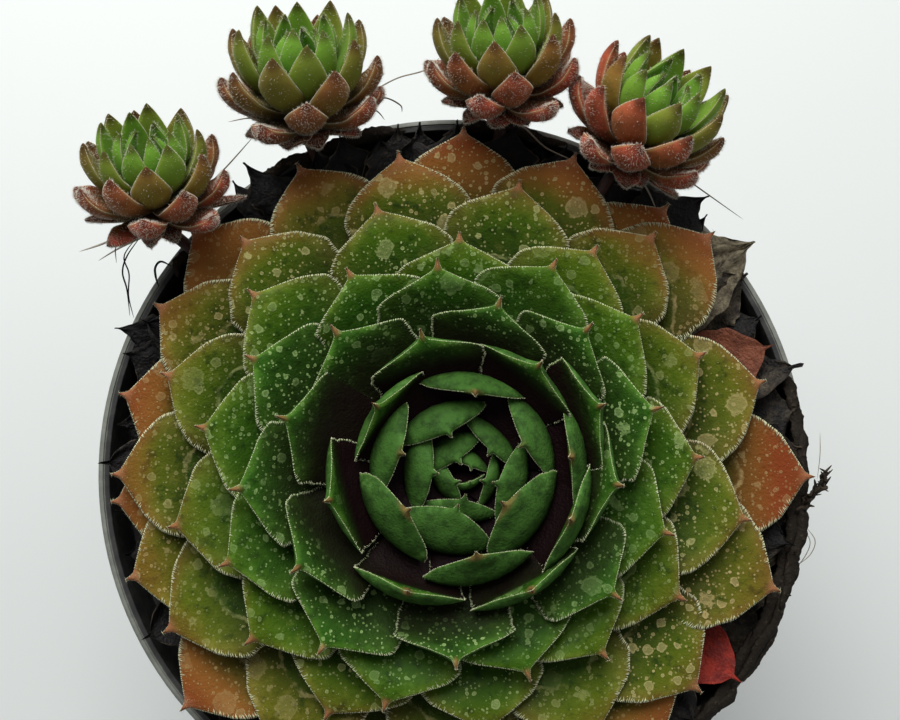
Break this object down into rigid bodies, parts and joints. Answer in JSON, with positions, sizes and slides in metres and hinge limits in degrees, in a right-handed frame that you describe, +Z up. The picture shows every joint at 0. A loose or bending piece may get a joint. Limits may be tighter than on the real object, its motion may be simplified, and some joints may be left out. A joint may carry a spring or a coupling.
{
  "type": "potted hens and chicks",
  "caption": "Large leafy succulent rosette filling a round nursery pot, with young rosettes on short runners over the back of the rim.",
  "frame": {"origin": "middle of the pot's foot, on the ground", "axes": "+Z up, +Y to the back, where the young rosettes stand, +X to the right seen from the front"},
  "size_m": [0.1211, 0.1376, 0.1225],
  "materials": {
    "pot_plastic": "satin",
    "soil": "matte",
    "dry_leaf": "matte",
    "hen_leaf": "satin",
    "chick_leaf": "satin"
  },
  "bodies": {
    "root": {"pot": "pot_plastic", "soil": "soil", "old_stem": "dry_leaf", "hen_rosette": "hen_leaf", "chick_1": "chick_leaf", "chick_2": "chick_leaf", "chick_3": "chick_leaf", "chick_4": "chick_leaf"}
  },
  "joints": []
}
